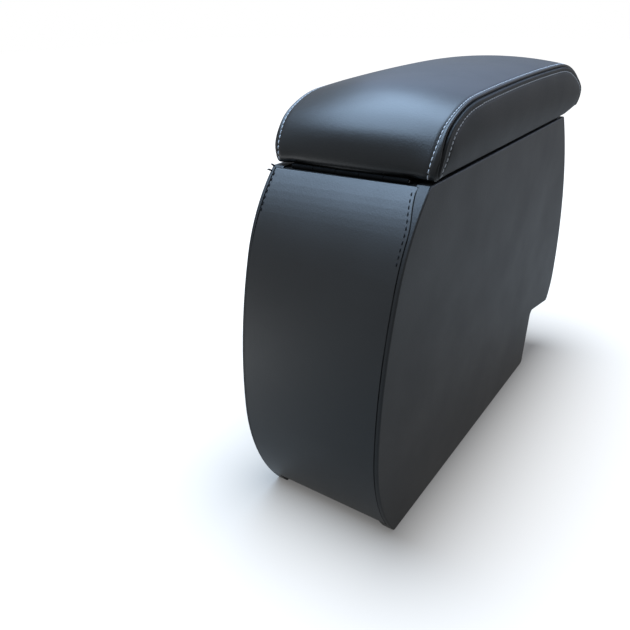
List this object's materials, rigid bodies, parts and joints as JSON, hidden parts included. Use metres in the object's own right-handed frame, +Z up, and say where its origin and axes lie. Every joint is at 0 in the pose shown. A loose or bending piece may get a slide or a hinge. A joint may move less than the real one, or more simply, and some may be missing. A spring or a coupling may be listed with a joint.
{
  "type": "car centre armrest",
  "caption": "Narrow tall car centre armrest: black leatherette box with bowed ends, a step under its front, and a padded lid hinged at the rear over a felt-lined bin.",
  "frame": {"origin": "on the floor, under the middle of the box's length and width", "axes": "+X to the car's right, +Y to the car's front (the lid's nose), +Z up; the hinged end and the curved rear panel face -Y"},
  "size_m": [0.135, 0.4514, 0.3532],
  "materials": {
    "lid_leatherette": "semi-matt black grained leatherette over foam",
    "box_leatherette": "semi-matt black grained leatherette on board",
    "felt": "black needle felt",
    "lid_felt": "black felt on thin hardboard",
    "foam": "cream upholstery foam",
    "bumper_rubber": "black rubber",
    "black_steel": "black painted steel",
    "zinc_steel": "zinc plated steel",
    "softwood": "sawn softwood",
    "stained_softwood": "softwood stained black",
    "plywood": "bare plywood"
  },
  "bodies": {
    "box": {"body_hinge_screws": "zinc_steel", "floor_board": "plywood", "floor_lining": "felt", "front_board": "plywood", "front_cover": "box_leatherette", "front_lining": "felt", "hinge_body_leaf": "black_steel", "hinge_pin": "zinc_steel", "hinge_rail": "stained_softwood", "left_floor_cleat": "softwood", "left_lining": "felt", "left_side_board": "plywood", "left_side_cover": "box_leatherette", "rear_board": "plywood", "rear_cover": "box_leatherette", "rear_lining": "felt", "right_floor_cleat": "softwood", "right_lining": "felt", "right_side_board": "plywood", "right_side_cover": "box_leatherette"},
    "lid": {"hinge_lid_leaf": "black_steel", "lid_board": "plywood", "lid_bumpers": "bumper_rubber", "lid_foam": "foam", "lid_hinge_screws": "zinc_steel", "lid_left_gusset": "lid_leatherette", "lid_lining_panel": "lid_felt", "lid_right_gusset": "lid_leatherette", "lid_top_cover": "lid_leatherette"}
  },
  "joints": [
    {"name": "lid_hinge", "type": "hinge", "parent": "box", "child": "lid", "pos_m": [0, -0.16425, 0.29425], "axis": [1, 0, 0], "range_deg": [0, 100]}
  ]
}
